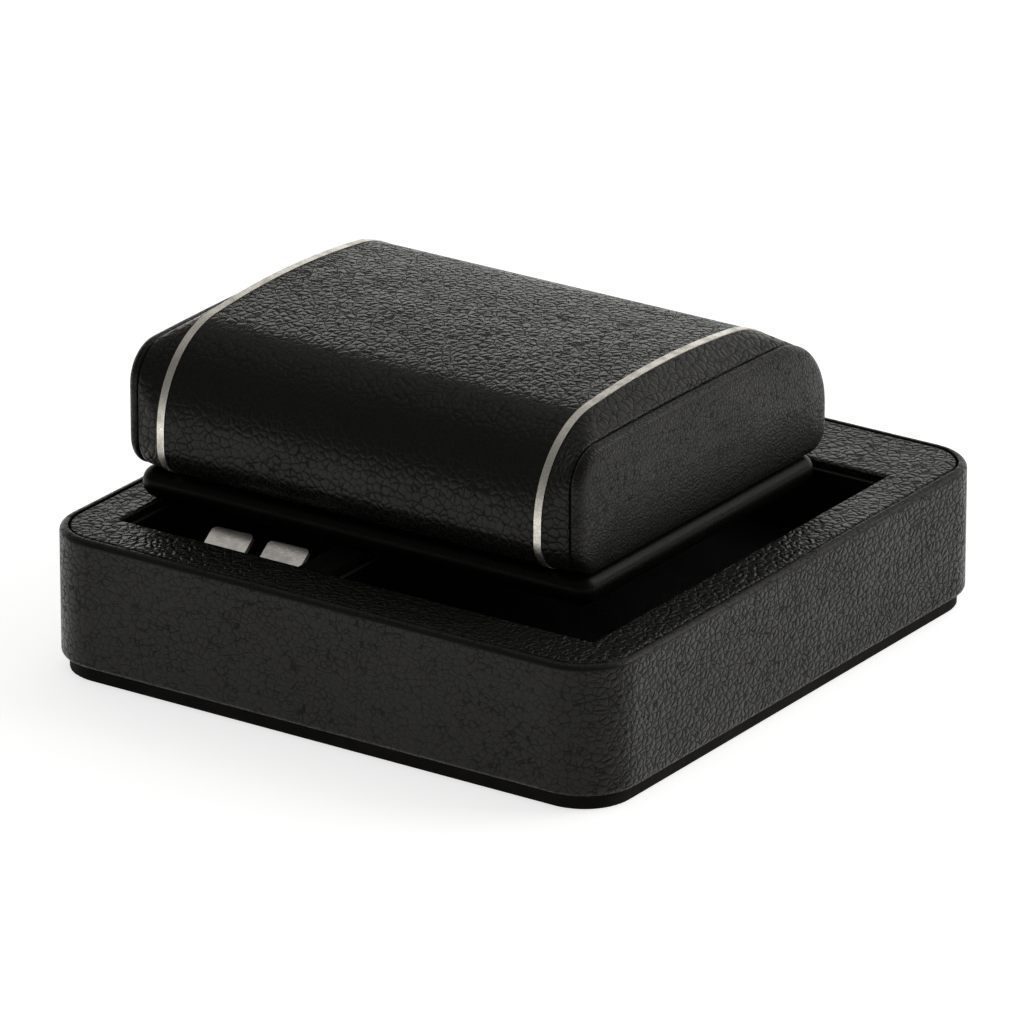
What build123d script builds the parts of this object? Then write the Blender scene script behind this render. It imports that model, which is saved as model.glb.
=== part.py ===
from build123d import *
import os
from math import cos, radians, sin, sqrt

os.makedirs("parts", exist_ok=True)

# The stand is a leather tray with two open cells. A small hinged watch case lies loose on its rim.
# The origin is the middle of the tray's footprint on the table, X along the front, Y to the rear.

# Tray, outside
tray_width = 150.0
tray_depth = 156.2
tray_corner = 13.4
leather = 1.0
plinth_inset = 1.8
felt = 0.8
screw_radius = 1.5
screw_head = 3.0
screw_length = 16.0
snug = 0.02

# Tray, heights above the table
plinth_top = 3.5
base_board_top = 12.4
floor_top = 16.0
rail_top = 30.9
liner_top = 31.6
rim_top = 33.8
wall_top = 33.9

# Tray, widths of the flat rim and the place and width of the dividing bar
rim_left = 12.0
rim_right = 12.5
rim_front = 15.2
rim_rear = 23.6
left_cell = 47.8
divider_width = 8.6
liner_ledge = 1.0
tuck = 4.5
lip = 1.95
lip_edge = 0.35
rim_gap = 0.5
rim_edge = 0.5
recess_edge = 0.8
bar_edge = 1.2
wall_top_edge = 1.5
wall_bottom_edge = 1.2

# Case, outside
case_place = 55.2
plate_half = 60.2
plate_front = -50.2
plate_rear = 42.8
plate_thickness = 7.2
plate_corner = 4.2
plate_edge_radius = 3.4
window_inset = 5.0

# Lid, its profile at the metal strips
lid_gap = 0.3
lid_front = -54.2
lid_rear = 46.0
curl_front = 7.7
curl_rear = 5.6
shoulder_front = 22.0
shoulder_rear = 27.0
crown_place = -8.0
crown_height = 34.7
crown_radius = 250.0

# Lid, its profile at the two ends, drawn in at the front
end_draw = 1.2
end_shoulder_front = 9.0
end_shoulder_rear = 18.0
end_crown_place = -20.0
end_crown_height = 29.5
end_crown_radius = 1200.0

# Lid, its ends along X, from the plate's side inwards
pad_overhang = 0.2
pad_thickness = 3.0
pad_gap = 0.1
end_board_thickness = 6.3
strip_offset = 0.9
strip_width = 1.9
strip_proud = 0.15
strip_slit = 0.2
skin_edge = 0.8
pad_edge = 1.3
pad_cover = 0.8
board = 2.4
lid_lining_thickness = 0.8
lid_rail_top = 10.7
rail_front_face = -44.6
rail_rear_face = 36.0

# Hinges
hinge_inset = 27.2
hinge_length = 20.0
hinge_y = 45.4
leaf = 0.8
leaf_end = 43.6
knuckle_radius = 1.5
knuckle_middle = 8.0
knuckle_slit = 0.2
pin_radius = 0.7
pin_play = 0.05
hinge_screw_radius = 0.75
hinge_screw_head = 1.6
hinge_screw_length = 4.5
hinge_screw_spacing = 13.0

# Magnets
magnet_radius = 2.0
magnet_height = 2.0
magnet_y = -44.0

# Wells and cushions
well_side_gap = 1.6
well_front = -42.5
well_rear = 33.0
well_height = 15.0
well_wall = 2.6
well_corner = 3.0
cushion_side_gap = 1.0
cushion_half_depth = 33.75
cushion_side_radius = 6.3
cushion_top_radius = 90.0
cushion_bottom_radius = 200.0
cushion_cover = 1.0
cushion_rest = 0.3

# Cufflinks
link_size = 11.6
link_thickness = 2.2
link_corner = 1.6
link_reach = 12.1
link_far_edge_z = 32.6
link_post_radius = 1.4
link_foot = 8.6
link_foot_width = 4.2
link_foot_thickness = 2.2

# Worked out from the above
plate_bottom = rim_top
plate_top = plate_bottom + plate_thickness
lid_bottom = plate_top + lid_gap
crown_z = lid_bottom + crown_height
end_crown_z = lid_bottom + end_crown_height
frame_inset = lip
rim_inset = lip + rim_gap
rim_board_inset = rim_inset + leather
wall_leather_bottom = plinth_top + leather
recess_left = rim_left - tray_width / 2
recess_right = tray_width / 2 - rim_right
recess_front = rim_front - tray_depth / 2
recess_rear = tray_depth / 2 - rim_rear
divider_left = recess_left + left_cell
divider_right = divider_left + divider_width
case_x = recess_left + case_place
recess_x = (recess_left + recess_right) / 2
recess_y = (recess_front + recess_rear) / 2
recess_width = recess_right - recess_left
recess_depth = recess_rear - recess_front
plate_y = (plate_front + plate_rear) / 2
plate_depth = plate_rear - plate_front
hinge_z = (plate_top + lid_bottom) / 2
# Distances along X from the middle of the case
pad_start = plate_half + pad_overhang - pad_thickness
end_board_finish = pad_start - pad_gap
end_board_start = end_board_finish - end_board_thickness
strip_place = end_board_start - strip_offset
magnet_place = (end_board_start + end_board_finish) / 2
well_half = end_board_start - well_side_gap
hinge_spacing = plate_half - hinge_inset


def rounded_tray(inset, mode=Mode.ADD):
    """Rounded rectangle of the tray's plan, drawn in by inset."""
    RectangleRounded(tray_width - 2 * inset, tray_depth - 2 * inset, tray_corner - inset, mode=mode)


def recess_rectangle(growth, mode=Mode.ADD):
    """Rectangle of the recess, grown by growth on each side."""
    with Locations((recess_x, recess_y)):
        Rectangle(recess_width + 2 * growth, recess_depth + 2 * growth, mode=mode)


def span_rectangle(low_x, high_x, low_y, high_y, mode=Mode.ADD):
    """Rectangle between two X and two Y lines of the sketch."""
    with Locations(((low_x + high_x) / 2, (low_y + high_y) / 2)):
        Rectangle(high_x - low_x, high_y - low_y, mode=mode)


def bend(centre, radius, start, end):
    """Arc about centre from the direction of start to the direction of end."""
    first = (Vector(*start) - Vector(*centre)).normalized()
    last = (Vector(*end) - Vector(*centre)).normalized()
    middle = (first + last).normalized()
    centre = Vector(*centre)
    return ThreePointArc(centre + first * radius, centre + middle * radius, centre + last * radius)


def lid_outline(front, front_radius, rear_radius, place, top, radius, inset):
    """Closed lid profile in Y and Z from its front line, drawn in by inset all round."""
    rear = lid_rear
    dome = (place, top - radius)
    front_middle = front + front_radius
    rear_middle = rear - rear_radius
    front_rise = sqrt((radius - front_radius) ** 2 - (front_middle - place) ** 2)
    rear_rise = sqrt((radius - rear_radius) ** 2 - (rear_middle - place) ** 2)
    shoulder_a = (front_middle, dome[1] + front_rise)
    shoulder_b = (rear_middle, dome[1] + rear_rise)
    curl_a = (front + curl_front, lid_bottom + curl_front)
    curl_b = (rear - curl_rear, lid_bottom + curl_rear)
    # Where the shoulders run into the dome, seen from the dome's centre
    join_a = Vector(shoulder_a[0] - dome[0], shoulder_a[1] - dome[1]).normalized() * (radius - inset)
    join_b = Vector(shoulder_b[0] - dome[0], shoulder_b[1] - dome[1]).normalized() * (radius - inset)
    top_a = (dome[0] + join_a.X, dome[1] + join_a.Y)
    top_b = (dome[0] + join_b.X, dome[1] + join_b.Y)
    floor_a = (curl_a[0], lid_bottom + inset)
    floor_b = (curl_b[0], lid_bottom + inset)
    side_a = (front + inset, curl_a[1])
    side_b = (rear - inset, curl_b[1])
    with BuildSketch() as outline:
        with BuildLine():
            bend(curl_a, curl_front - inset, floor_a, side_a)
            Line(side_a, (front + inset, shoulder_a[1]))
            bend(shoulder_a, front_radius - inset, (front + inset, shoulder_a[1]), top_a)
            bend(dome, radius - inset, top_a, top_b)
            bend(shoulder_b, rear_radius - inset, top_b, (rear - inset, shoulder_b[1]))
            Line((rear - inset, shoulder_b[1]), side_b)
            bend(curl_b, curl_rear - inset, side_b, floor_b)
            Line(floor_b, floor_a)
        make_face()
    return outline.sketch


def strip_outline(inset):
    """Lid profile between the two metal strips."""
    return lid_outline(
        lid_front, shoulder_front, shoulder_rear, crown_place, crown_z, crown_radius, inset
    )


def end_outline(inset):
    """Lid profile at its ends, lower and squarer at the front."""
    return lid_outline(
        lid_front + end_draw, end_shoulder_front, end_shoulder_rear,
        end_crown_place, end_crown_z, end_crown_radius, inset,
    )


def wall_section(outside, inside):
    """Section of the lid's bent wall between two insets, open below between the curled edges."""
    with BuildSketch() as section:
        add(strip_outline(outside))
        add(strip_outline(inside), mode=Mode.SUBTRACT)
        span_rectangle(
            lid_front + curl_front, lid_rear - curl_rear,
            plate_top, lid_bottom + inside + snug, Mode.SUBTRACT,
        )
    return section.sketch


def at_case(distance, side):
    """X of a place at a distance from the middle of the case, on the left or right side."""
    return case_x + side * distance


def sorted_span(first, second, side):
    """Low and high X of a stretch between two distances on one side of the case."""
    ends = sorted((at_case(first, side), at_case(second, side)))
    return ends[0], ends[1]


sides = {"left": -1, "right": 1}

# Plinth: velvet wrapped over a board
with BuildPart() as base_felt:
    with BuildSketch():
        rounded_tray(plinth_inset)
    extrude(amount=plinth_top)
    fillet(base_felt.faces().sort_by(Axis.Z)[0].edges(), felt / 2)
    with BuildSketch(Plane.XY.offset(felt)):
        rounded_tray(plinth_inset + felt)
    extrude(amount=plinth_top - felt, mode=Mode.SUBTRACT)
base_felt.part.label = "base_felt"
export_step(base_felt.part, "parts/base_felt.step")

front_rail_y = (recess_front - leather - tray_depth / 2 + frame_inset) / 2
rear_rail_y = (recess_rear + leather + tray_depth / 2 - frame_inset) / 2
left_rail_x = (recess_left - leather - tray_width / 2 + frame_inset) / 2
right_rail_x = (recess_right + leather + tray_width / 2 - frame_inset) / 2
screw_reach_x = tray_width / 3
screw_reach_y = tray_depth / 5
screw_places = [
    (-screw_reach_x, front_rail_y),
    (screw_reach_x, front_rail_y),
    (-screw_reach_x, rear_rail_y),
    (screw_reach_x, rear_rail_y),
    (left_rail_x, -screw_reach_y),
    (left_rail_x, screw_reach_y),
    (right_rail_x, -screw_reach_y),
    (right_rail_x, screw_reach_y),
]
screw_bottom = felt + snug
head_height = screw_head - screw_radius


def screw_body(growth, mode=Mode.ADD):
    """Countersunk screws pointing up, or the holes for them, at the screw places."""
    with Locations(*[(x, y, screw_bottom - growth) for x, y in screw_places]):
        Cone(
            screw_head + growth, screw_radius + growth, head_height,
            align=(Align.CENTER, Align.CENTER, Align.MIN), mode=mode,
        )
        Cylinder(
            screw_radius + growth, screw_length + 2 * growth,
            align=(Align.CENTER, Align.CENTER, Align.MIN), mode=mode,
        )


with BuildPart() as plinth_board:
    with BuildSketch(Plane.XY.offset(felt)):
        rounded_tray(plinth_inset + felt)
    extrude(amount=plinth_top - felt)
    screw_body(snug, Mode.SUBTRACT)
plinth_board.part.label = "plinth_board"
export_step(plinth_board.part, "parts/plinth_board.step")

with BuildPart() as base_screws:
    screw_body(0)
base_screws.part.label = "base_screws"
export_step(base_screws.part, "parts/base_screws.step")

# Tray frame
with BuildPart() as base_board_piece:
    with BuildSketch(Plane.XY.offset(plinth_top)):
        recess_rectangle(leather)
    extrude(amount=base_board_top - plinth_top)
base_board_piece.part.label = "base_board"
export_step(base_board_piece.part, "parts/base_board.step")

outer_x = tray_width / 2
outer_y = tray_depth / 2
rail_spans = {
    "front": (-outer_x, outer_x, -outer_y, recess_front - leather),
    "rear": (-outer_x, outer_x, recess_rear + leather, outer_y),
    "left": (-outer_x, recess_left - leather, recess_front - leather, recess_rear + leather),
    "right": (recess_right + leather, outer_x, recess_front - leather, recess_rear + leather),
}
for name, (low_x, high_x, low_y, high_y) in rail_spans.items():
    with BuildPart() as wall_rail:
        with BuildSketch(Plane.XY.offset(wall_leather_bottom)):
            rounded_tray(frame_inset)
            span_rectangle(low_x, high_x, low_y, high_y, Mode.INTERSECT)
        extrude(amount=rail_top - wall_leather_bottom)
        screw_body(snug, Mode.SUBTRACT)
    wall_rail.part.label = f"wall_rail_{name}"
    export_step(wall_rail.part, f"parts/wall_rail_{name}.step")

# Wall: padding and the leather band that turns in above and below it
with BuildPart() as wall_foam:
    with BuildSketch(Plane.XY.offset(wall_leather_bottom)):
        rounded_tray(leather)
        rounded_tray(frame_inset, Mode.SUBTRACT)
    extrude(amount=wall_top - leather - wall_leather_bottom)
wall_foam.part.label = "wall_foam"
export_step(wall_foam.part, "parts/wall_foam.step")

with BuildPart() as wall_leather:
    with BuildSketch(Plane.XY.offset(plinth_top)):
        rounded_tray(0)
    extrude(amount=wall_top - plinth_top)
    fillet(wall_leather.faces().sort_by(Axis.Z)[-1].edges(), wall_top_edge)
    fillet(wall_leather.faces().sort_by(Axis.Z)[0].edges(), wall_bottom_edge)
    with BuildSketch(Plane.XY.offset(plinth_top)):
        rounded_tray(tuck)
    extrude(amount=leather, mode=Mode.SUBTRACT)
    with BuildSketch(Plane.XY.offset(wall_leather_bottom)):
        rounded_tray(leather)
    extrude(amount=wall_top - leather - wall_leather_bottom, mode=Mode.SUBTRACT)
    with BuildSketch(Plane.XY.offset(wall_top - leather)):
        rounded_tray(lip)
    extrude(amount=leather, mode=Mode.SUBTRACT)
    fillet(wall_leather.faces().sort_by(Axis.Z)[-1].inner_wires()[0].edges(), lip_edge)
wall_leather.part.label = "wall_leather"
export_step(wall_leather.part, "parts/wall_leather.step")

# Rim: a flat board with leather over its top and down both edges
with BuildPart() as rim_board:
    with BuildSketch(Plane.XY.offset(rail_top)):
        rounded_tray(rim_board_inset)
        recess_rectangle(leather, Mode.SUBTRACT)
    extrude(amount=rim_top - leather - rail_top)
rim_board.part.label = "rim_board"
export_step(rim_board.part, "parts/rim_board.step")

with BuildPart() as rim_leather:
    with BuildSketch(Plane.XY.offset(rail_top)):
        rounded_tray(rim_inset)
        recess_rectangle(0, Mode.SUBTRACT)
    extrude(amount=rim_top - rail_top)
    rim_face = rim_leather.faces().sort_by(Axis.Z)[-1]
    fillet(rim_face.inner_wires()[0].edges(), recess_edge)
    rim_face = rim_leather.faces().sort_by(Axis.Z)[-1]
    fillet(rim_face.outer_wire().edges(), rim_edge)
    with BuildSketch(Plane.XY.offset(rail_top)):
        rounded_tray(rim_board_inset)
        recess_rectangle(leather, Mode.SUBTRACT)
    extrude(amount=rim_top - leather - rail_top, mode=Mode.SUBTRACT)
    with BuildSketch(Plane.XY.offset(rail_top)):
        recess_rectangle(leather)
    extrude(amount=liner_top - rail_top, mode=Mode.SUBTRACT)
rim_leather.part.label = "rim_leather"
export_step(rim_leather.part, "parts/rim_leather.step")

# Bar between the cells
bar_low = divider_left + leather
bar_high = divider_right - leather
with BuildPart() as divider_core:
    with BuildSketch(Plane.XY.offset(base_board_top)):
        span_rectangle(bar_low, bar_high, recess_front - leather, recess_rear + leather)
    extrude(amount=liner_top - base_board_top)
    with BuildSketch(Plane.XY.offset(liner_top)):
        span_rectangle(bar_low, bar_high, recess_front, recess_rear)
    extrude(amount=rim_top - leather - liner_top)
divider_core.part.label = "divider_core"
export_step(divider_core.part, "parts/divider_core.step")

with BuildPart() as divider_leather:
    with BuildSketch(Plane.XY.offset(liner_top)):
        span_rectangle(divider_left, divider_right, recess_front, recess_rear)
    extrude(amount=rim_top - liner_top)
    bar_edges = divider_leather.faces().sort_by(Axis.Z)[-1].edges().filter_by(Axis.Y)
    fillet(bar_edges, bar_edge)
    with BuildSketch(Plane.XY.offset(liner_top)):
        span_rectangle(bar_low, bar_high, recess_front, recess_rear)
    extrude(amount=rim_top - leather - liner_top, mode=Mode.SUBTRACT)
divider_leather.part.label = "divider_leather"
export_step(divider_leather.part, "parts/divider_leather.step")

# Cells: wall lining and floor
cell_spans = {
    "left": (recess_left, divider_left),
    "right": (divider_right, recess_right),
}
for name, (low_x, high_x) in cell_spans.items():
    with BuildPart() as cell_liner:
        with BuildSketch(Plane.XY.offset(base_board_top)):
            span_rectangle(low_x - leather, high_x + leather, recess_front - leather, recess_rear + leather)
            span_rectangle(
                low_x + liner_ledge, high_x - liner_ledge,
                recess_front + liner_ledge, recess_rear - liner_ledge, Mode.SUBTRACT,
            )
        extrude(amount=liner_top - base_board_top)
    cell_liner.part.label = f"cell_liner_{name}"
    export_step(cell_liner.part, f"parts/cell_liner_{name}.step")

    with BuildPart() as cell_floor:
        with BuildSketch(Plane.XY.offset(base_board_top)):
            span_rectangle(
                low_x + liner_ledge, high_x - liner_ledge,
                recess_front + liner_ledge, recess_rear - liner_ledge,
            )
        extrude(amount=floor_top - base_board_top)
        fillet(cell_floor.faces().sort_by(Axis.Z)[-1].edges(), felt / 2)
    cell_floor.part.label = f"cell_floor_{name}"
    export_step(cell_floor.part, f"parts/cell_floor_{name}.step")

# Case base: a board in leather with a round edge, open above for the lining
hinge_places = [at_case(hinge_spacing, side) for side in sides.values()]


def leaf_pockets():
    """Plan of the pockets for the lower hinge leaves in the top of the case base."""
    with BuildSketch() as pockets:
        with Locations(*[(x, (well_rear + leaf_end) / 2) for x in hinge_places]):
            Rectangle(hinge_length + 2 * snug, leaf_end - well_rear + 2 * snug)
    return pockets.sketch


def base_hinge_screws(growth, mode=Mode.ADD):
    """Hinge screws that point down into the case base, or their holes."""
    head_z = plate_top - leather + leaf + growth
    head_depth = hinge_screw_head - hinge_screw_radius
    screw_y = well_rear + hinge_screw_head + leaf
    places = [(x, screw_y, head_z) for x in hinge_screw_places]
    with Locations(*places):
        Cone(
            hinge_screw_radius + growth, hinge_screw_head + growth, head_depth,
            align=(Align.CENTER, Align.CENTER, Align.MAX), mode=mode,
        )
        Cylinder(
            hinge_screw_radius + growth, hinge_screw_length + 2 * growth,
            align=(Align.CENTER, Align.CENTER, Align.MAX), mode=mode,
        )


def lid_hinge_screws(growth, mode=Mode.ADD):
    """Hinge screws that point up into the lid's rear rail, or their holes."""
    head_z = lid_bottom + leather - leaf - growth
    head_depth = hinge_screw_head - hinge_screw_radius
    screw_y = rail_rear_face + hinge_screw_head + leaf
    places = [(x, screw_y, head_z) for x in hinge_screw_places]
    with Locations(*places):
        Cone(
            hinge_screw_head + growth, hinge_screw_radius + growth, head_depth,
            align=(Align.CENTER, Align.CENTER, Align.MIN), mode=mode,
        )
        Cylinder(
            hinge_screw_radius + growth, hinge_screw_length + 2 * growth,
            align=(Align.CENTER, Align.CENTER, Align.MIN), mode=mode,
        )


hinge_screw_places = [
    x + step * hinge_screw_spacing / 2 for x in hinge_places for step in (-1, 1)
]
magnet_places = [at_case(magnet_place, side) for side in sides.values()]


def magnets(low_z, growth, mode=Mode.ADD):
    """Pair of round magnets, or their holes, from low_z upward."""
    with Locations(*[(x, magnet_y, low_z) for x in magnet_places]):
        Cylinder(
            magnet_radius + growth, magnet_height,
            align=(Align.CENTER, Align.CENTER, Align.MIN), mode=mode,
        )


with BuildPart() as board_block:
    with BuildSketch(Plane.XY.offset(plate_bottom + leather)):
        with Locations((case_x, plate_y)):
            RectangleRounded(
                2 * (plate_half - leather), plate_depth - 2 * leather, plate_corner - leather
            )
    extrude(amount=plate_thickness - 2 * leather)
    rims = board_block.faces().sort_by(Axis.Z)
    fillet(rims[0].edges() + rims[-1].edges(), plate_edge_radius - leather)

with BuildPart() as case_base_board:
    add(board_block.part)
    magnets(plate_top - leather - magnet_height, snug, Mode.SUBTRACT)
    base_hinge_screws(snug, Mode.SUBTRACT)
case_base_board.part.label = "case_base_board"
export_step(case_base_board.part, "parts/case_base_board.step")

window_low_x = case_x - plate_half + window_inset
window_high_x = case_x + plate_half - window_inset
window_low_y = plate_front + window_inset
window_high_y = plate_rear - window_inset
with BuildPart() as case_base_leather:
    with BuildSketch(Plane.XY.offset(plate_bottom)):
        with Locations((case_x, plate_y)):
            RectangleRounded(2 * plate_half, plate_depth, plate_corner)
    extrude(amount=plate_thickness)
    rims = case_base_leather.faces().sort_by(Axis.Z)
    fillet(rims[0].edges() + rims[-1].edges(), plate_edge_radius)
    add(board_block.part, mode=Mode.SUBTRACT)
    with BuildSketch(Plane.XY.offset(plate_top - leather)):
        span_rectangle(window_low_x, window_high_x, window_low_y, window_high_y)
        add(leaf_pockets())
    extrude(amount=leather, mode=Mode.SUBTRACT)
case_base_leather.part.label = "case_base_leather"
export_step(case_base_leather.part, "parts/case_base_leather.step")

with BuildPart() as case_base_lining:
    with BuildSketch(Plane.XY.offset(plate_top - leather)):
        span_rectangle(
            window_low_x + snug, window_high_x - snug, window_low_y + snug, window_high_y - snug
        )
        add(leaf_pockets(), mode=Mode.SUBTRACT)
    extrude(amount=leather)
case_base_lining.part.label = "case_base_lining"
export_step(case_base_lining.part, "parts/case_base_lining.step")

with BuildPart() as base_magnets:
    magnets(plate_top - leather - magnet_height, 0)
base_magnets.part.label = "base_magnets"
export_step(base_magnets.part, "parts/base_magnets.step")

# Wells for the two watches, and their cushions
well_y = (well_front + well_rear) / 2
well_depth = well_rear - well_front
well_width = well_half - 1.5 * well_wall
well_place = (well_wall + well_width) / 2
cushion_length = well_width - 2 * cushion_side_gap
with BuildPart() as well_frame:
    with BuildSketch(Plane.XY.offset(plate_top)):
        with Locations((case_x, well_y)):
            RectangleRounded(2 * well_half, well_depth, well_corner)
        with Locations((case_x - well_place, well_y), (case_x + well_place, well_y)):
            RectangleRounded(
                well_width, well_depth - 2 * well_wall, well_corner / 2, mode=Mode.SUBTRACT
            )
    extrude(amount=well_height)
    fillet(well_frame.faces().sort_by(Axis.Z)[-1].edges(), well_wall / 3)
well_frame.part.label = "well_frame"
export_step(well_frame.part, "parts/well_frame.step")

cushion_side = cushion_half_depth - cushion_side_radius
cushion_top_rise = sqrt((cushion_top_radius - cushion_side_radius) ** 2 - cushion_side ** 2)
cushion_bottom_rise = sqrt((cushion_bottom_radius - cushion_side_radius) ** 2 - cushion_side ** 2)
cushion_middle = plate_top + cushion_rest + cushion_bottom_radius - cushion_bottom_rise
# Each section of a cushion: distance from its end, and how far the seam draws it in there
cushion_sections = ((0.0, 4.4), (0.8, 2.2), (3.2, 0.7), (10.0, 0.0))


def cushion_outline(inset):
    """Flat oval section of a cushion in Y and Z, drawn in by inset."""
    front = (well_y - cushion_side, cushion_middle)
    rear = (well_y + cushion_side, cushion_middle)
    above = (well_y, cushion_middle + cushion_bottom_rise)
    below = (well_y, cushion_middle - cushion_top_rise)
    top_reach = (cushion_top_radius - inset) / (cushion_top_radius - cushion_side_radius)
    bottom_reach = (cushion_bottom_radius - inset) / (cushion_bottom_radius - cushion_side_radius)
    top_y = cushion_side * top_reach
    top_z = below[1] + cushion_top_rise * top_reach
    bottom_y = cushion_side * bottom_reach
    bottom_z = above[1] - cushion_bottom_rise * bottom_reach
    top_front = (well_y - top_y, top_z)
    top_rear = (well_y + top_y, top_z)
    bottom_front = (well_y - bottom_y, bottom_z)
    bottom_rear = (well_y + bottom_y, bottom_z)
    with BuildSketch() as outline:
        with BuildLine():
            bend(below, cushion_top_radius - inset, top_front, top_rear)
            bend(rear, cushion_side_radius - inset, top_rear, bottom_rear)
            bend(above, cushion_bottom_radius - inset, bottom_rear, bottom_front)
            bend(front, cushion_side_radius - inset, bottom_front, top_front)
        make_face()
    return outline.sketch


def cushion_places(inset):
    """Sections along a cushion, full in the middle and drawn in towards its two sewn ends."""
    half = cushion_length / 2 - inset
    first_half = [(-half + distance, draw + inset) for distance, draw in cushion_sections]
    return first_half + [(-place, draw) for place, draw in reversed(first_half)]


for name, side in sides.items():
    cushion_x = at_case(well_place, side)
    with BuildPart() as cushion_core:
        for place, draw in cushion_places(cushion_cover):
            with BuildSketch(Plane.YZ.offset(cushion_x + place)):
                add(cushion_outline(draw))
        loft()
    cushion_core.part.label = f"watch_cushion_core_{name}"
    export_step(cushion_core.part, f"parts/watch_cushion_core_{name}.step")

    with BuildPart() as cushion_skin:
        for place, draw in cushion_places(0):
            with BuildSketch(Plane.YZ.offset(cushion_x + place)):
                add(cushion_outline(draw))
        loft()
        add(cushion_core.part, mode=Mode.SUBTRACT)
    cushion_skin.part.label = f"watch_cushion_cover_{name}"
    export_step(cushion_skin.part, f"parts/watch_cushion_cover_{name}.step")

# Lid: bent board, rails, lining
shell_inside = leather + board
inner_half = end_board_start - lid_lining_thickness
rail_low_z = lid_bottom + leather
rail_high_z = lid_bottom + lid_rail_top
skin_half = strip_place - strip_width / 2 - strip_slit

with BuildPart() as lid_shell:
    with BuildSketch(Plane.YZ.offset(case_x - end_board_start)):
        add(wall_section(leather, shell_inside))
    extrude(amount=2 * end_board_start)
lid_shell.part.label = "lid_shell"
export_step(lid_shell.part, "parts/lid_shell.step")

with BuildPart() as lid_front_rail:
    with BuildSketch(Plane.YZ.offset(case_x - inner_half)):
        add(strip_outline(shell_inside))
        span_rectangle(lid_front, rail_front_face, lid_bottom, rail_high_z, Mode.INTERSECT)
        span_rectangle(lid_front + curl_front, rail_front_face, rail_low_z, rail_high_z)
    extrude(amount=2 * inner_half)
lid_front_rail.part.label = "lid_front_rail"
export_step(lid_front_rail.part, "parts/lid_front_rail.step")

with BuildPart() as lid_rear_rail:
    with BuildSketch(Plane.YZ.offset(case_x - inner_half)):
        add(strip_outline(shell_inside))
        span_rectangle(rail_rear_face, lid_rear, lid_bottom, rail_high_z, Mode.INTERSECT)
        span_rectangle(rail_rear_face, lid_rear - curl_rear, rail_low_z, rail_high_z)
    extrude(amount=2 * inner_half)
    lid_hinge_screws(snug, Mode.SUBTRACT)
lid_rear_rail.part.label = "lid_rear_rail"
export_step(lid_rear_rail.part, "parts/lid_rear_rail.step")

with BuildPart() as lid_lining:
    with BuildSketch(Plane.YZ.offset(case_x - inner_half)):
        add(strip_outline(shell_inside))
        add(strip_outline(shell_inside + lid_lining_thickness), mode=Mode.SUBTRACT)
        span_rectangle(lid_front, lid_rear, plate_top, rail_high_z, Mode.SUBTRACT)
    extrude(amount=2 * inner_half)
lid_lining.part.label = "lid_lining"
export_step(lid_lining.part, "parts/lid_lining.step")

# Lid: the middle skin, notched below for the hinges
with BuildPart() as lid_skin_center:
    with BuildSketch(Plane.YZ.offset(case_x - skin_half)):
        add(wall_section(0, leather))
    extrude(amount=2 * skin_half)
    with BuildSketch(Plane.XY.offset(plate_top)):
        with Locations(*[(x, lid_rear) for x in hinge_places]):
            Rectangle(hinge_length + felt, 2 * curl_rear + snug)
    extrude(amount=rail_low_z + snug - plate_top, mode=Mode.SUBTRACT)
lid_skin_center.part.label = "lid_skin_center"
export_step(lid_skin_center.part, "parts/lid_skin_center.step")

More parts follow.
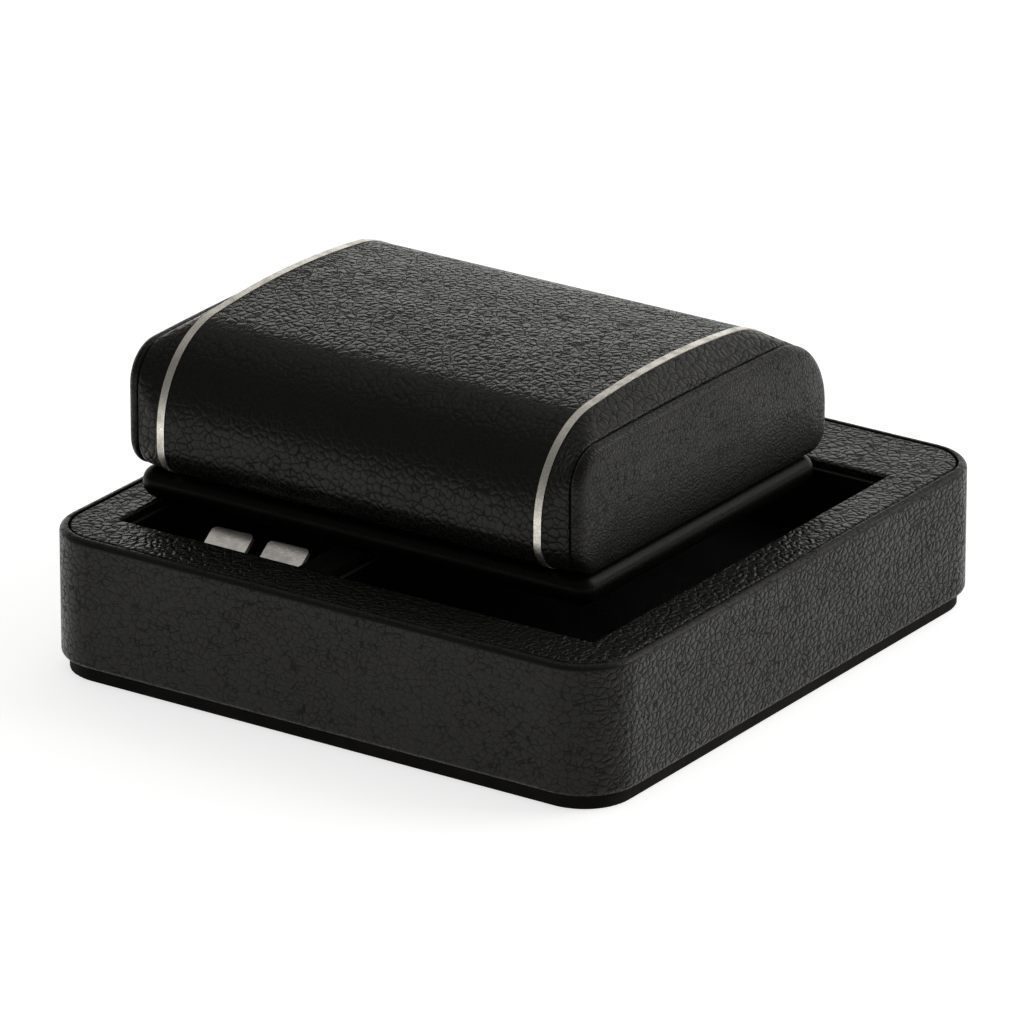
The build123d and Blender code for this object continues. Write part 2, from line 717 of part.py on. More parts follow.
# Lid: end blocks, side skins, strips and padded panels
for name, side in sides.items():
    inner_x = at_case(end_board_start, side)
    outer_x = at_case(end_board_finish, side)
    pad_x = at_case(pad_start, side)
    outward = Axis((0, 0, 0), (side, 0, 0))

    with BuildPart() as end_block:
        with BuildSketch(Plane.YZ.offset(inner_x)):
            add(strip_outline(leather))
        with BuildSketch(Plane.YZ.offset(outer_x)):
            add(end_outline(leather))
        loft()

    with BuildPart() as lid_end_board:
        add(end_block.part)
        magnets(rail_low_z, snug, Mode.SUBTRACT)
    lid_end_board.part.label = f"lid_end_board_{name}"
    export_step(lid_end_board.part, f"parts/lid_end_board_{name}.step")

    low_x, high_x = sorted_span(inner_half, end_board_start, side)
    with BuildPart() as lid_end_lining:
        with BuildSketch(Plane.YZ.offset(low_x)):
            add(strip_outline(shell_inside))
        extrude(amount=high_x - low_x)
    lid_end_lining.part.label = f"lid_end_lining_{name}"
    export_step(lid_end_lining.part, f"parts/lid_end_lining_{name}.step")

    slit_low, slit_high = sorted_span(
        end_board_start - strip_slit, strip_place + strip_width / 2 + strip_slit, side
    )
    with BuildPart() as lid_skin:
        with BuildSketch(Plane.YZ.offset(inner_x)):
            add(strip_outline(0))
        with BuildSketch(Plane.YZ.offset(outer_x)):
            add(end_outline(0))
        loft()
        fillet(lid_skin.faces().sort_by(outward)[-1].edges(), skin_edge)
        add(end_block.part, mode=Mode.SUBTRACT)
        with BuildSketch(Plane.YZ.offset(slit_low)):
            span_rectangle(lid_front - lip, lid_rear + lip, plate_top, crown_z + lip)
        extrude(amount=slit_high - slit_low, mode=Mode.SUBTRACT)
    lid_skin.part.label = f"lid_skin_{name}"
    export_step(lid_skin.part, f"parts/lid_skin_{name}.step")

    low_x, high_x = sorted_span(
        strip_place - strip_width / 2, strip_place + strip_width / 2, side
    )
    with BuildPart() as trim_strip:
        with BuildSketch(Plane.YZ.offset(low_x)):
            add(wall_section(-strip_proud, leather))
        extrude(amount=high_x - low_x)
    trim_strip.part.label = f"trim_strip_{name}"
    export_step(trim_strip.part, f"parts/trim_strip_{name}.step")

    with BuildPart() as end_pad_core:
        with BuildSketch(Plane.YZ.offset(pad_x)):
            add(end_outline(pad_cover))
        extrude(amount=side * (pad_thickness - pad_cover))
        fillet(end_pad_core.faces().sort_by(outward)[-1].edges(), pad_edge - pad_cover)
    end_pad_core.part.label = f"end_pad_core_{name}"
    export_step(end_pad_core.part, f"parts/end_pad_core_{name}.step")

    with BuildPart() as end_pad_cover:
        with BuildSketch(Plane.YZ.offset(pad_x)):
            add(end_outline(0))
        extrude(amount=side * pad_thickness)
        fillet(end_pad_cover.faces().sort_by(outward)[-1].edges(), pad_edge)
        fillet(end_pad_cover.faces().sort_by(outward)[0].edges(), pad_cover / 2)
        add(end_pad_core.part, mode=Mode.SUBTRACT)
    end_pad_cover.part.label = f"end_pad_cover_{name}"
    export_step(end_pad_cover.part, f"parts/end_pad_cover_{name}.step")

with BuildPart() as lid_magnets:
    magnets(rail_low_z, 0)
lid_magnets.part.label = "lid_magnets"
export_step(lid_magnets.part, "parts/lid_magnets.step")

# Hinges
knuckle_outer = (hinge_length - knuckle_middle) / 2 - knuckle_slit
knuckle_outer_place = (hinge_length - knuckle_outer) / 2


outer_knuckles = ((-knuckle_outer_place, knuckle_outer), (knuckle_outer_place, knuckle_outer))
inner_knuckle = ((0, knuckle_middle),)
# Each kind of leaf: its underside, its inner edge, its knuckles and the play round the pin
leaf_kinds = {
    "base": (plate_top - leather, well_rear + snug, outer_knuckles, snug),
    "lid": (rail_low_z - leaf, rail_rear_face + pin_play, inner_knuckle, pin_play),
}
for kind, (low_z, low_y, knuckles, play) in leaf_kinds.items():
    for name, side in sides.items():
        place = at_case(hinge_spacing, side)
        start_x = place - hinge_length / 2
        with BuildPart() as hinge_leaf:
            with BuildSketch(Plane.XY.offset(low_z)):
                span_rectangle(start_x, start_x + hinge_length, low_y, leaf_end)
                for step, length in knuckles:
                    knuckle_x = place + step - length / 2
                    span_rectangle(knuckle_x, knuckle_x + length, leaf_end, hinge_y)
            extrude(amount=leaf)
            for step, length in knuckles:
                with BuildSketch(Plane.YZ.offset(place + step - length / 2)):
                    with Locations((hinge_y, hinge_z)):
                        Circle(knuckle_radius)
                extrude(amount=length)
            with BuildSketch(Plane.YZ.offset(start_x)):
                with Locations((hinge_y, hinge_z)):
                    Circle(pin_radius + play)
            extrude(amount=hinge_length, mode=Mode.SUBTRACT)
            base_hinge_screws(snug, Mode.SUBTRACT)
            lid_hinge_screws(snug, Mode.SUBTRACT)
        hinge_leaf.part.label = f"hinge_leaf_{kind}_{name}"
        export_step(hinge_leaf.part, f"parts/hinge_leaf_{kind}_{name}.step")

with BuildPart() as hinge_pins:
    for x in hinge_places:
        with BuildSketch(Plane.YZ.offset(x - hinge_length / 2)):
            with Locations((hinge_y, hinge_z)):
                Circle(pin_radius)
        extrude(amount=hinge_length)
hinge_pins.part.label = "hinge_pins"
export_step(hinge_pins.part, "parts/hinge_pins.step")

with BuildPart() as hinge_screws_base:
    base_hinge_screws(0)
hinge_screws_base.part.label = "hinge_screws_base"
export_step(hinge_screws_base.part, "parts/hinge_screws_base.step")

with BuildPart() as hinge_screws_lid:
    lid_hinge_screws(0)
hinge_screws_lid.part.label = "hinge_screws_lid"
export_step(hinge_screws_lid.part, "parts/hinge_screws_lid.step")

# Cufflinks, each with its place from the recess's side, its turn and its tilt towards the front
links = {
    "left": (22.5, 3.0, 34.0),
    "right": (37.6, 2.0, 35.0),
}
link_far_edge_y = recess_front + link_reach
for name, (from_side, turn, tilt) in links.items():
    turn = radians(turn)
    tilt = radians(tilt)
    along = Vector(cos(turn), sin(turn), 0)
    upward = Vector(-sin(turn) * cos(tilt), cos(turn) * cos(tilt), sin(tilt))
    middle = Vector(recess_left + from_side, link_far_edge_y, link_far_edge_z) - upward * (link_size / 2)
    face_plane = Plane(origin=middle, x_dir=along, z_dir=along.cross(upward))
    rise = middle.Z - floor_top - pin_play - link_foot / 2 * sin(tilt)
    post_length = rise / cos(tilt) - link_thickness - link_foot_thickness

    with BuildPart() as cufflink_face:
        with BuildSketch(face_plane):
            RectangleRounded(link_size, link_size, link_corner)
        extrude(amount=-link_thickness)
        chamfer(cufflink_face.edges(), link_thickness / 5)
    cufflink_face.part.label = f"cufflink_{name}_face"
    export_step(cufflink_face.part, f"parts/cufflink_{name}_face.step")

    with BuildPart() as cufflink_back:
        with BuildSketch(face_plane.offset(-link_thickness)):
            Circle(link_post_radius)
        extrude(amount=-post_length)
        with BuildSketch(face_plane.offset(-link_thickness - post_length)):
            RectangleRounded(link_foot_width, link_foot, link_corner)
        extrude(amount=-link_foot_thickness)
    cufflink_back.part.label = f"cufflink_{name}_back"
    export_step(cufflink_back.part, f"parts/cufflink_{name}_back.step")
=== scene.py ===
from math import cos, exp, pi, radians, sin

import bmesh
import bpy
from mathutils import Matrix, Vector, noise
from mathutils.geometry import convex_hull_2d


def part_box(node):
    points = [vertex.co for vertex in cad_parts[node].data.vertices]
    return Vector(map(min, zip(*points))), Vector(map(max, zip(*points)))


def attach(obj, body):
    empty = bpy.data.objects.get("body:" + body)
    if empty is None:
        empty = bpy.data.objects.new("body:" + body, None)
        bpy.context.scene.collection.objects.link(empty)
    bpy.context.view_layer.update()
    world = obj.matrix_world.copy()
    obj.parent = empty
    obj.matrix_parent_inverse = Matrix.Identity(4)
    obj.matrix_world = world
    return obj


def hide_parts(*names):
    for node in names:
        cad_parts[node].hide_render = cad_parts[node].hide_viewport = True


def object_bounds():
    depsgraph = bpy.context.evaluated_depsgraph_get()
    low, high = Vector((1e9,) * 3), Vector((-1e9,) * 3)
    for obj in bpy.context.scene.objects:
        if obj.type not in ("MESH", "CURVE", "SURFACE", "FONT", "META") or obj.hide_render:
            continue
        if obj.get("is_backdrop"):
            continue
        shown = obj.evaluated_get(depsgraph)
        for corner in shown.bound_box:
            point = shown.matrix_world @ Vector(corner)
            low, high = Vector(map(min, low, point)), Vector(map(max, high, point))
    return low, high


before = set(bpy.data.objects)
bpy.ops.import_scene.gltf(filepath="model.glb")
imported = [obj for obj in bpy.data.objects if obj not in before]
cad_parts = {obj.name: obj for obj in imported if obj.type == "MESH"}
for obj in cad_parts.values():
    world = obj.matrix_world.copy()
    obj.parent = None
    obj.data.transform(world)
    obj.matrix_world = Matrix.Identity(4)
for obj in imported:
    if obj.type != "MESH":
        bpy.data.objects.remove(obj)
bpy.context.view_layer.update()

mm = 0.001

# Camera
camera_azimuth = 34.275
camera_elevation = 21.658
camera_place = (1.1862, -1.7424, 0.8660)
camera_lens = 359.1
camera_sensor = 36.0

# Light, in metres and watts
floor_radius = 15.0
floor_glow = 0.71
world_rear = 0.26
world_front = 0.17
window_level = 1.0
window_towards = (-0.5, 0.866, 0.0)
window_sides = (0.3, 0.85)
window_top = (0.36, 0.46)
glow_level = 0.6
glow_towards = (0.35, 0.75, 0.56)
glow_sides = (0.8, 0.97)
key_place = (0.1, 0.35, 1.7)
key_size = 2.2
key_power = 4.2
side_place = (1.2, 0.95, 0.85)
side_size = 0.9
side_power = 6.0
lamp_colour = (1.0, 0.99, 0.97)
lamp_aim = (0.0, 0.0, 0.03)

# Grain of the leather, in millimetres
wall_cell = 1.9
lid_cell = 1.9
pad_cell = 1.1


def wire(tree, kind, inputs=None, **settings):
    """New shader node with its settings, its inputs either linked or set."""
    made = tree.nodes.new(kind)
    for name, value in settings.items():
        setattr(made, name, value)
    for name, value in (inputs or {}).items():
        socket = made.inputs[name]
        if isinstance(value, bpy.types.NodeSocket):
            tree.links.new(value, socket)
        else:
            socket.default_value = value
    return made


def maths(tree, operation, first, second=0.0):
    """Result of a sum, product or other operation on two values."""
    return wire(tree, "ShaderNodeMath", {0: first, 1: second}, operation=operation).outputs[0]


def spread(tree, value, low, high, to_low, to_high):
    """Value carried smoothly from one range to another."""
    made = wire(
        tree, "ShaderNodeMapRange",
        {"Value": value, "From Min": low, "From Max": high, "To Min": to_low, "To Max": to_high},
        interpolation_type="SMOOTHSTEP",
    )
    return made.outputs["Result"]


def blend_colour(tree, factor, first, second):
    """Colour between two others."""
    made = wire(tree, "ShaderNodeMix", {"Factor": factor}, data_type="RGBA")
    for socket, value in ((made.inputs[6], first), (made.inputs[7], second)):
        if isinstance(value, bpy.types.NodeSocket):
            tree.links.new(value, socket)
        else:
            socket.default_value = (*value, 1.0)
    return made.outputs[2]


def place(tree, stretch=(1.0, 1.0, 1.0)):
    """Coordinates fixed to the object, in millimetres, with a stretch for each axis."""
    found = wire(tree, "ShaderNodeTexCoord")
    scale = tuple(part / mm for part in stretch)
    inputs = {"Vector": found.outputs["Object"], "Scale": scale}
    return wire(tree, "ShaderNodeMapping", inputs).outputs[0]


def grain(tree, where, size, detail=2.0, roughness=0.5):
    """Soft noise with features of the given size in millimetres."""
    inputs = {"Vector": where, "Scale": 1.0 / size, "Detail": detail, "Roughness": roughness}
    return wire(tree, "ShaderNodeTexNoise", inputs)


def bend_by(tree, where, shift, amount):
    """Coordinates shifted by a noise's colour."""
    centred = wire(
        tree, "ShaderNodeVectorMath", {0: shift, 1: (0.5, 0.5, 0.5)}, operation="SUBTRACT"
    ).outputs[0]
    scaled = wire(
        tree, "ShaderNodeVectorMath", {0: centred, "Scale": amount}, operation="SCALE"
    ).outputs[0]
    return wire(tree, "ShaderNodeVectorMath", {0: where, 1: scaled}, operation="ADD").outputs[0]


def pebbles(tree, where, size, crease):
    """Rounded cells and the thin creases between them, both as heights from 0 to 1."""
    found = wire(
        tree, "ShaderNodeTexVoronoi", {"Vector": where, "Scale": 1.0 / size},
        feature="DISTANCE_TO_EDGE",
    ).outputs["Distance"]
    return spread(tree, found, 0.0, 0.36, 0.0, 1.0), spread(tree, found, 0.0, crease, 0.0, 1.0)


def finish_of(name, **sockets):
    """New material with its shader, and the inputs set on the shader itself."""
    made = bpy.data.materials.new(name)
    made.use_nodes = True
    tree = made.node_tree
    shader = tree.nodes["Principled BSDF"]
    for key, value in sockets.items():
        shader.inputs[key.replace("_", " ")].default_value = value
    return made, tree, shader


def connect(tree, shader, colour=None, roughness=None, height=None, depth=0.1, strength=1.0):
    """Colour, roughness and bumps of a material, the depth of the bumps in millimetres."""
    if colour is not None:
        tree.links.new(colour, shader.inputs["Base Color"])
    if roughness is not None:
        tree.links.new(roughness, shader.inputs["Roughness"])
    if height is not None:
        bump = wire(
            tree, "ShaderNodeBump", {"Height": height, "Distance": depth * mm, "Strength": strength}
        )
        tree.links.new(bump.outputs["Normal"], shader.inputs["Normal"])


def leather(
    name, cell, depth, dull=0.68, shine=0.3,
    dark=(0.0009, 0.0009, 0.0007), light=(0.0108, 0.0106, 0.0089), stretch=(1.0, 1.0, 1.0),
    taut=None, smooth_from=None, gloss=0.22,
):
    """Grained black leather: rounded pebbles of uneven depth, fine pores, dull thin creases. The
    creases are coloured dark as painted shade, the pebble tops light.

    It is pulled smoother where it faces the front between the two slopes given as taut, and above
    the height smooth_from.
    """
    made, tree, shader = finish_of(name, Specular_IOR_Level=gloss)
    shader.inputs["Specular Tint"].default_value = (1.0, 0.975, 0.89, 1.0)
    where = place(tree, stretch)
    broad = grain(tree, where, 14.0, 3.0).outputs["Fac"]
    patchy = grain(tree, where, 2.4, 1.0)
    bent = bend_by(tree, where, patchy.outputs["Color"], 0.9)
    width = spread(tree, patchy.outputs["Fac"], 0.36, 0.66, 0.055, 0.14)
    domes, creases = pebbles(tree, bent, cell, width)
    small = grain(tree, where, cell * 0.42, 1.0).outputs["Fac"]
    pores = grain(tree, where, 0.16, 1.0).outputs["Fac"]
    height = maths(tree, "MULTIPLY", domes, 0.6)
    for layer, share in ((creases, 0.45), (small, 0.45), (pores, 0.1), (broad, 2.2)):
        height = maths(tree, "ADD", height, maths(tree, "MULTIPLY", layer, share))
    # Painted shade: the colour runs from light on the pebble tops to dark in the creases, for the
    # shade inside them
    crease_shade_and_tops = maths(tree, "MULTIPLY", creases, spread(tree, small, 0.3, 0.6, 0.72, 1.0))
    colour = blend_colour(tree, crease_shade_and_tops, dark, light)
    worn = spread(tree, broad, 0.42, 0.68, 0.0, 0.4)
    colour = blend_colour(tree, worn, colour, tuple(part * 1.25 for part in light))
    rough = spread(tree, crease_shade_and_tops, 0.0, 1.0, dull, shine)
    rough = maths(tree, "ADD", rough, spread(tree, broad, 0.3, 0.7, 0.04, -0.05))
    strength = 1.0
    if taut:
        facing = wire(tree, "ShaderNodeTexCoord").outputs["Normal"]
        slope = wire(tree, "ShaderNodeSeparateXYZ", {0: facing}).outputs["Y"]
        strength = spread(tree, slope, *taut, 0.18, 1.0)
    if smooth_from:
        height_above = wire(tree, "ShaderNodeSeparateXYZ", {0: place(tree)}).outputs["Z"]
        pulled = spread(tree, height_above, smooth_from, smooth_from + 1.0, 1.0, 0.12)
        strength = maths(tree, "MULTIPLY", strength, pulled)
    connect(tree, shader, colour, rough, height, depth, strength)
    return made, tree, shader, colour


def pile(name, dark, light, speck, sheen, bump=0.12):
    """Napped cloth: short fibres that catch light at the edges, with brushed patches."""
    made, tree, shader = finish_of(
        name, Specular_IOR_Level=0.15, Sheen_Weight=sheen, Sheen_Roughness=0.45
    )
    shader.inputs["Sheen Tint"].default_value = (*[min(1.0, part * 12) for part in light], 1.0)
    where = place(tree)
    fibres = grain(tree, where, speck, 4.0, 0.7).outputs["Fac"]
    brushed = grain(tree, where, 6.0, 3.0).outputs["Fac"]
    mixed = maths(
        tree, "ADD", maths(tree, "MULTIPLY", fibres, 0.65), maths(tree, "MULTIPLY", brushed, 0.35)
    )
    colour = blend_colour(tree, spread(tree, mixed, 0.35, 0.65, 0.0, 1.0), dark, light)
    rough = spread(tree, mixed, 0.3, 0.7, 0.95, 0.78)
    connect(tree, shader, colour, rough, fibres, bump)
    return made, tree, shader, colour


def metal(name, colour, worn, rough, stretch, tracks=0.02):
    """Worked metal: fine drawn tracks along one axis, with duller handled patches."""
    made, tree, shader = finish_of(name, Metallic=1.0)
    drawn = grain(tree, place(tree, stretch), 0.35, 3.0).outputs["Fac"]
    handled = grain(tree, place(tree), 3.5, 3.0).outputs["Fac"]
    patch = spread(tree, handled, 0.4, 0.72, 0.0, 1.0)
    tone = blend_colour(tree, spread(tree, drawn, 0.3, 0.7, 0.0, 0.6), colour, worn)
    tone = blend_colour(tree, maths(tree, "MULTIPLY", patch, 0.5), tone, worn)
    dull = spread(tree, drawn, 0.25, 0.75, rough * 0.7, rough * 1.3)
    dull = maths(tree, "ADD", dull, maths(tree, "MULTIPLY", patch, rough * 0.5))
    connect(tree, shader, tone, dull, drawn, tracks)
    return made


def board_stuff(name, dark, light, size):
    """Pressed fibre board or foam: mottled, with open pores."""
    made, tree, shader = finish_of(name, Specular_IOR_Level=0.2)
    where = place(tree)
    fibres = grain(tree, where, size, 5.0, 0.7).outputs["Fac"]
    pits = wire(
        tree, "ShaderNodeTexVoronoi", {"Vector": where, "Scale": 1.0 / (size * 2)}
    ).outputs["Distance"]
    tone = maths(tree, "MULTIPLY", fibres, spread(tree, pits, 0.05, 0.4, 0.6, 1.0))
    colour = blend_colour(tree, spread(tree, tone, 0.25, 0.6, 0.0, 1.0), dark, light)
    connect(tree, shader, colour, spread(tree, tone, 0.2, 0.7, 0.95, 0.75), tone, 0.15)
    return made


tray_leather = leather(
    "tray_leather", wall_cell, 0.3, stretch=(1.0, 1.0, 1.25), taut=(-1.0, -0.3),
    smooth_from=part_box("wall_leather")[1].z / mm - 1.9,
)[0]
lid_leather = leather("lid_leather", lid_cell, 0.46, shine=0.23, taut=(-0.32, 0.02))[0]
side_leather = leather("side_leather", lid_cell, 0.1)[0]
pad_leather = leather("pad_leather", pad_cell, 0.06)[0]
# The case's base plate: smoother leather with little gloss, its colours darker than the other
# leathers' as painted shade for the shadow under the lid's overhang
shaded_plate_leather = leather(
    "shaded_plate_leather", pad_cell, 0.012, 0.45, 0.3, (0.002, 0.002, 0.0017), (0.004, 0.004, 0.0034),
    gloss=0.1,
)[0]

# The rim's leather is painted paler along the edge of the recess, a painted highlight on its
# rounded inner edge
rim_leather, rim_tree, rim_shader, rim_colour = leather("rim_leather", wall_cell, 0.34)
liner_low, liner_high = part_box("cell_liner_left")[0] / mm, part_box("cell_liner_right")[1] / mm
turn_in = 1.0
edge_highlight_width = 0.5
edge_highlight_colour = (0.085, 0.082, 0.073)
rim_parts = wire(rim_tree, "ShaderNodeSeparateXYZ", {0: place(rim_tree)})
outside = []
for axis, low, high in (("X", liner_low.x, liner_high.x), ("Y", liner_low.y, liner_high.y)):
    shifted = maths(rim_tree, "SUBTRACT", rim_parts.outputs[axis], (low + high) / 2)
    shifted = maths(rim_tree, "ABSOLUTE", shifted)
    outside.append(maths(rim_tree, "SUBTRACT", shifted, (high - low) / 2 - turn_in))
from_edge = maths(rim_tree, "MAXIMUM", *outside)
edge_highlight_mask = spread(rim_tree, from_edge, 0.0, edge_highlight_width, 1.0, 0.0)
rim_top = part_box("rim_leather")[1].z / mm
edge_highlight_mask = maths(
    rim_tree, "MULTIPLY", edge_highlight_mask,
    spread(rim_tree, rim_parts.outputs["Z"], rim_top - 0.7, rim_top - 0.3, 0.0, 1.0),
)
# Painted highlight: the paler colour along the recess edge
rim_tree.links.new(
    blend_colour(rim_tree, edge_highlight_mask, rim_colour, edge_highlight_colour),
    rim_shader.inputs["Base Color"],
)

velvet = pile("velvet", (0.0022, 0.0018, 0.0015), (0.0075, 0.006, 0.005), 0.18, 0.12)[0]
suede = pile("suede", (0.0016, 0.0014, 0.0012), (0.0052, 0.0047, 0.0042), 0.3, 0.04)[0]
# Painted shade: a darker copy of the suede, without sheen, for the shade deep in the cells
shaded_cell_suede = pile("shaded_cell_suede", (0.0006, 0.0005, 0.0004), (0.0032, 0.0028, 0.0024), 0.4, 0.0)[0]
cushion_cloth = pile("cushion_cloth", (0.02, 0.018, 0.0155), (0.05, 0.046, 0.04), 0.3, 0.5)[0]

# The liner's cut upper edge is painted pale, a painted highlight where light catches it
liner, liner_tree, liner_shader, liner_colour = pile(
    "liner", (0.002, 0.0018, 0.0015), (0.009, 0.008, 0.007), 0.3, 0.05
)
liner_height = wire(liner_tree, "ShaderNodeSeparateXYZ", {0: place(liner_tree)}).outputs["Z"]
liner_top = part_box("cell_liner_left")[1].z / mm
liner_top_highlight = spread(liner_tree, liner_height, liner_top - 0.25, liner_top - 0.05, 0.0, 0.8)
liner_tree.links.new(
    blend_colour(liner_tree, liner_top_highlight, liner_colour, (0.05, 0.047, 0.042)),
    liner_shader.inputs["Base Color"],
)

strip_metal = metal(
    "strip_metal", (0.95, 0.91, 0.83), (0.42, 0.39, 0.33), 0.34, (2.0, 1.2, 1.2), 0.05
)
link_metal = metal(
    "link_metal", (0.86, 0.83, 0.78), (0.6, 0.57, 0.53), 0.13, (0.3, 4.0, 4.0), 0.004
)
hinge_metal = metal("hinge_metal", (0.63, 0.62, 0.6), (0.4, 0.39, 0.38), 0.3, (0.3, 4.0, 4.0))
screw_metal = metal("screw_metal", (0.55, 0.54, 0.52), (0.3, 0.29, 0.28), 0.35, (3.0, 3.0, 0.4))
magnet_metal = metal("magnet_metal", (0.6, 0.6, 0.6), (0.42, 0.42, 0.42), 0.22, (1.0, 1.0, 1.0))
board = board_stuff("board", (0.16, 0.12, 0.085), (0.34, 0.27, 0.2), 0.5)
foam = board_stuff("foam", (0.02, 0.02, 0.021), (0.06, 0.06, 0.062), 0.9)

# The lid's boards look wrapped, as their edges show round its opening
looks = {
    tray_leather: ("wall_leather", "divider_leather"),
    rim_leather: ("rim_leather",),
    shaded_plate_leather: ("case_base_leather",),
    lid_leather: ("lid_skin_center",),
    side_leather: (
        "lid_skin_left", "lid_skin_right", "lid_shell", "lid_front_rail", "lid_rear_rail",
        "lid_end_board_left", "lid_end_board_right",
    ),
    velvet: ("base_felt",),
    shaded_cell_suede: ("cell_floor_left", "cell_floor_right"),
    suede: (
        "case_base_lining", "well_frame",
        "lid_lining", "lid_end_lining_left", "lid_end_lining_right",
    ),
    liner: ("cell_liner_left", "cell_liner_right"),
    strip_metal: ("trim_strip_left", "trim_strip_right"),
    link_metal: (
        "cufflink_left_face", "cufflink_left_back", "cufflink_right_face", "cufflink_right_back"
    ),
    hinge_metal: (
        "hinge_leaf_base_left", "hinge_leaf_base_right", "hinge_leaf_lid_left",
        "hinge_leaf_lid_right", "hinge_pins",
    ),
    screw_metal: ("base_screws", "hinge_screws_base", "hinge_screws_lid"),
    magnet_metal: ("base_magnets", "lid_magnets"),
    foam: (
        "wall_foam", "watch_cushion_core_left", "watch_cushion_core_right",
        "end_pad_core_left", "end_pad_core_right",
    ),
    board: (
        "plinth_board", "base_board", "wall_rail_front", "wall_rail_rear", "wall_rail_left",
        "wall_rail_right", "rim_board", "divider_core", "case_base_board",
    ),
}
for look, names in looks.items():
    for name in names:
        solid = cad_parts[name].data
        solid.materials.clear()
        solid.materials.append(look)


def outline_of(node, count):
    """Evenly spaced points round a node seen along X, and the unit normals pointing out."""
    corners = [Vector((v.co.y, v.co.z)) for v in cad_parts[node].data.vertices]
    hull = [corners[i] for i in convex_hull_2d(corners)]
    steps = [(hull[(i + 1) % len(hull)] - p).length for i, p in enumerate(hull)]
    pitch = sum(steps) / count
    points, travelled, wanted = [], 0.0, 0.0
    for i, step in enumerate(steps):
        while wanted < travelled + step and len(points) < count:
            points.append(hull[i].lerp(hull[(i + 1) % len(hull)], (wanted - travelled) / step))
            wanted += pitch
        travelled += step
    middle = sum(points, Vector((0.0, 0.0))) / count
    normals = []
    for i in range(count):
        along = points[(i + 1) % count] - points[i - 1]
        across = Vector((along.y, -along.x)).normalized()
        normals.append(across if across.dot(points[i] - middle) > 0 else -across)
    return points, normals, middle


def reach_in(point, points):
    """Distance from a point to the nearest stretch of a closed outline."""
    nearest = 1.0
    for i, start in enumerate(points):
        run = points[(i + 1) % len(points)] - start
        share = min(1.0, max(0.0, (point - start).dot(run) / run.length_squared))
        nearest = min(nearest, (point - start - run * share).length)
    return nearest


def soft_skin(name, rings, look, body, stood_for):
    """Closed smooth piece through rings of points, its first and last ring drawn to one point."""
    shape = bmesh.new()
    made = [[shape.verts.new(point) for point in ring] for ring in rings]
    count = len(rings[0])
    for low, high in zip(made, made[1:]):
        for i in range(count):
            j = (i + 1) % count
            shape.faces.new((low[i], low[j], high[j], high[i]))
    for ring in (made[0], made[-1]):
        centre = shape.verts.new(sum((v.co for v in ring), Vector()) / count)
        for i in range(count):
            shape.faces.new((ring[i], ring[(i + 1) % count], centre))
    bmesh.ops.recalc_face_normals(shape, faces=shape.faces)
    for face in shape.faces:
        face.smooth = True
    mesh = bpy.data.meshes.new(name)
    shape.to_mesh(mesh)
    shape.free()
    mesh.materials.append(look)
    piece = bpy.data.objects.new(name, mesh)
    bpy.context.scene.collection.objects.link(piece)
    rounding = piece.modifiers.new("rounding", "SUBSURF")
    rounding.levels = 1
    rounding.render_levels = 1
    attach(piece, body)
    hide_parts(stood_for)
    return piece


# Rolled edge of an end panel: how far in from its outline, how far out along X, in millimetres
panel_edge = (
    (1.6, 0.0), (0.9, 0.02), (0.35, 0.15), (0.08, 0.5), (0.0, 0.95), (0.06, 1.4),
    (0.3, 1.95), (0.75, 2.4), (1.4, 2.72), (2.2, 2.92), (3.2, 3.04),
)
edge_inset, edge_rise = panel_edge[-1]
panel_rings = (0.94, 0.88, 0.8, 0.7, 0.58, 0.45, 0.3, 0.15, 0.05)
panel_crown = 0.9
panel_slope = 8.0
panel_points = 220

for side, away in (("left", -1.0), ("right", 1.0)):
    node = f"end_pad_cover_{side}"
    low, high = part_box(node)
    back = low.x if away > 0 else high.x
    points, normals, middle = outline_of(node, panel_points)
    rings = []
    for share in (0.3, 0.7, 0.93):
        rings.append([(back, *middle.lerp(p, share)) for p in points])
    for inset, rise in panel_edge:
        ring = []
        for p, n in zip(points, normals):
            tuck = 0.06 * noise.noise(Vector((p.x, p.y, away)) / (9 * mm))
            q = p - n * (inset + max(0.0, tuck)) * mm
            ring.append((back + away * rise * mm, q.x, q.y))
        rings.append(ring)
    inner = [p - n * edge_inset * mm for p, n in zip(points, normals)]
    for share in panel_rings:
        ring = []
        for p in inner:
            q = middle.lerp(p, share)
            depth = reach_in(q, points) / mm
            crown = panel_crown * (1 - exp(-(depth - edge_inset) / panel_slope))
            rise = edge_rise + crown
            rise += 0.05 * noise.noise(Vector((q.x, q.y, away)) / (11 * mm))
            ring.append((back + away * rise * mm, q.x, q.y))
        rings.append(ring)
    soft_skin(f"end_panel_{side}", rings, pad_leather, "lid", node)

# Watch cushions: full in the middle, gathered into a sewn seam at each end
cushion_points = 144
cushion_ends = (
    (0.0, 6.2), (0.05, 4.6), (0.3, 3.7), (0.55, 3.3), (0.8, 3.25), (1.0, 2.6), (1.6, 1.9),
    (2.4, 1.25), (3.6, 0.75), (5.2, 0.42), (7.5, 0.2), (10.5, 0.06), (14.0, 0.0), (18.0, 0.0),
)
gathers = 44
seam = 1.0
pleat_depth = 0.16
pleat_fade = 2.2

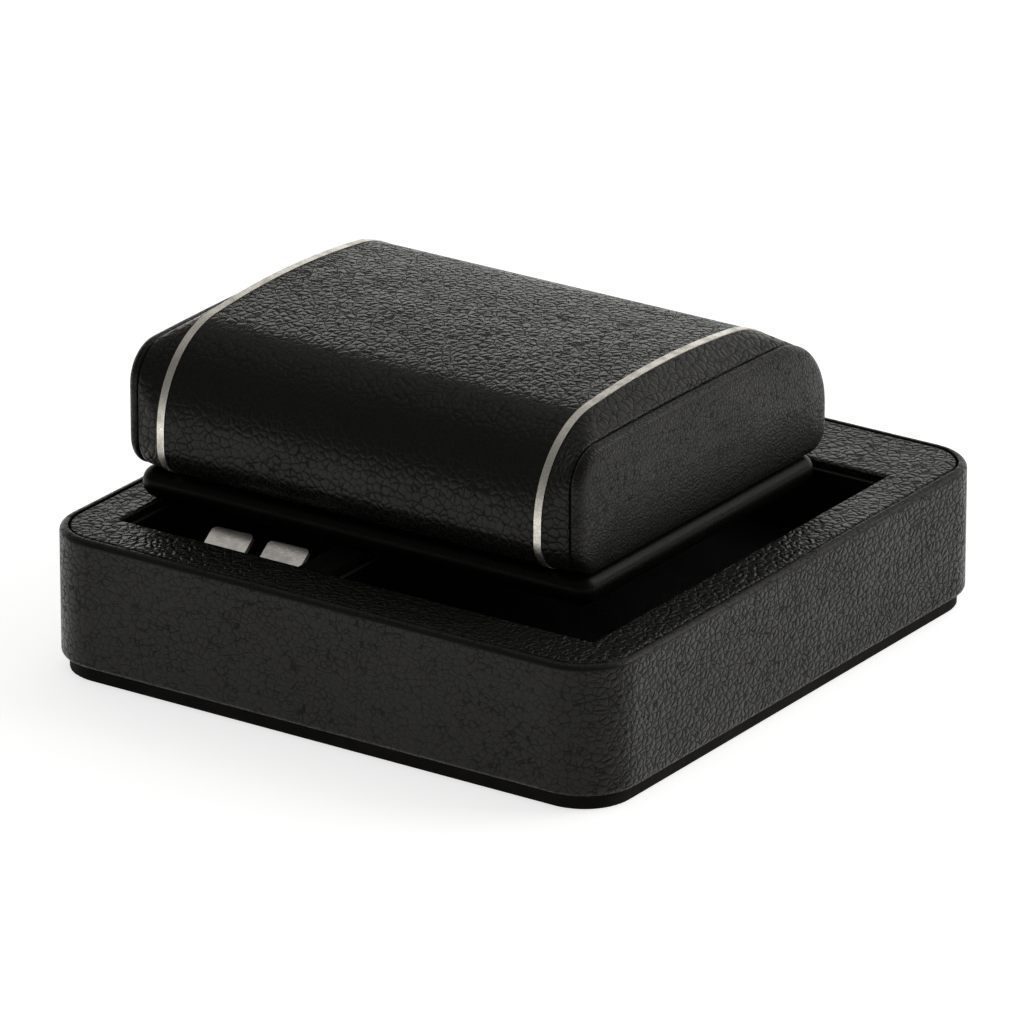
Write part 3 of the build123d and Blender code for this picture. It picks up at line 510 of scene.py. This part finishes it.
for side in ("left", "right"):
    node = f"watch_cushion_cover_{side}"
    low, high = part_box(node)
    points, normals, middle = outline_of(node, cushion_points)
    half = (high.x - low.x) / 2 / mm
    stations = [(-half + start, draw) for start, draw in cushion_ends]
    stations += [(0.0, 0.0)] + [(-x, draw) for x, draw in reversed(stations)]
    rings = []
    for x, draw in stations:
        from_end = half - abs(x)
        ring = []
        for i, (p, n) in enumerate(zip(points, normals)):
            wave = 1 + sin(gathers * 2 * pi * i / cushion_points)
            pleat = pleat_depth * exp(-max(0.0, from_end - seam) / pleat_fade) * wave
            if from_end < seam:
                pleat *= from_end / seam
            soft = 0.12 * (1 + noise.noise(Vector((x * mm, p.x, p.y)) / (13 * mm)))
            q = p - n * (draw + pleat + soft) * mm
            ring.append(((low.x + high.x) / 2 + x * mm, q.x, q.y))
        rings.append(ring)
    body = f"watch_cushion_{side}"
    soft_skin(f"watch_pillow_{side}", rings, cushion_cloth, body, node)


# Floor
floor_mesh = bpy.data.meshes.new("floor")
floor_shape = bmesh.new()
bmesh.ops.create_circle(floor_shape, cap_ends=True, segments=96, radius=floor_radius)
floor_shape.to_mesh(floor_mesh)
floor_shape.free()
floor = bpy.data.objects.new("floor", floor_mesh)
bpy.context.scene.collection.objects.link(floor)
floor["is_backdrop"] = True

floor_look, floor_tree, floor_shader = finish_of(
    "floor_look", Roughness=0.9, Specular_IOR_Level=0.0
)
floor_shader.inputs["Base Color"].default_value = (0.8, 0.8, 0.8, 1.0)
path = wire(floor_tree, "ShaderNodeLightPath")
seen = maths(floor_tree, "MAXIMUM", path.outputs["Is Camera Ray"], path.outputs["Is Glossy Ray"])
seen = maths(floor_tree, "MAXIMUM", seen, path.outputs["Is Transmission Ray"])
floor_shader.inputs["Emission Color"].default_value = (1.0, 1.0, 1.0, 1.0)
floor_tree.links.new(
    maths(floor_tree, "MULTIPLY", seen, floor_glow), floor_shader.inputs["Emission Strength"]
)
floor_mesh.materials.append(floor_look)

# Room: a low bright window behind the object, a glow to its right, dim in front
world = bpy.data.worlds.new("studio")
bpy.context.scene.world = world
world.use_nodes = True
world_tree = world.node_tree
direction = wire(world_tree, "ShaderNodeTexCoord").outputs["Generated"]
parts = wire(world_tree, "ShaderNodeSeparateXYZ", {0: direction})
level = spread(world_tree, parts.outputs["Y"], -0.6, 0.6, world_front, world_rear)
facing = wire(
    world_tree, "ShaderNodeVectorMath", {0: direction, 1: window_towards}, operation="DOT_PRODUCT"
).outputs["Value"]
window = spread(world_tree, facing, *window_sides, 0.0, window_level)
below_top = spread(world_tree, parts.outputs["Z"], *window_top, 1.0, 0.0)
window = maths(world_tree, "MULTIPLY", window, below_top)
level = maths(world_tree, "ADD", level, window)
facing = wire(
    world_tree, "ShaderNodeVectorMath", {0: direction, 1: glow_towards}, operation="DOT_PRODUCT"
).outputs["Value"]
glow = spread(world_tree, facing, *glow_sides, 0.0, glow_level)
level = maths(world_tree, "ADD", level, glow)
world_tree.nodes["Background"].inputs["Color"].default_value = (1.0, 1.0, 0.985, 1.0)
world_tree.links.new(level, world_tree.nodes["Background"].inputs["Strength"])


def softbox(name, where, size, power):
    """Square lamp aimed at the object."""
    lamp = bpy.data.lights.new(name, "AREA")
    lamp.shape = "SQUARE"
    lamp.size = size
    lamp.energy = power
    lamp.color = lamp_colour
    made = bpy.data.objects.new(name, lamp)
    bpy.context.scene.collection.objects.link(made)
    made.location = where
    made.rotation_mode = "QUATERNION"
    made.rotation_quaternion = (Vector(where) - Vector(lamp_aim)).to_track_quat("Z", "Y")


softbox("key", key_place, key_size, key_power)
softbox("side", side_place, side_size, side_power)

# Camera
azimuth, elevation = radians(camera_azimuth), radians(camera_elevation)
towards = Vector((sin(azimuth) * cos(elevation), -cos(azimuth) * cos(elevation), sin(elevation)))
camera_data = bpy.data.cameras.new("camera")
camera_data.lens = camera_lens
camera_data.sensor_width = camera_sensor
camera_data.clip_start = 0.1
camera_data.clip_end = 100.0
camera = bpy.data.objects.new("camera", camera_data)
bpy.context.scene.collection.objects.link(camera)
camera.rotation_mode = "QUATERNION"
camera.rotation_quaternion = towards.to_track_quat("Z", "Y")
camera.location = camera_place
bpy.context.scene.camera = camera

bpy.context.scene.view_settings.view_transform = "Standard"

low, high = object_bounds()
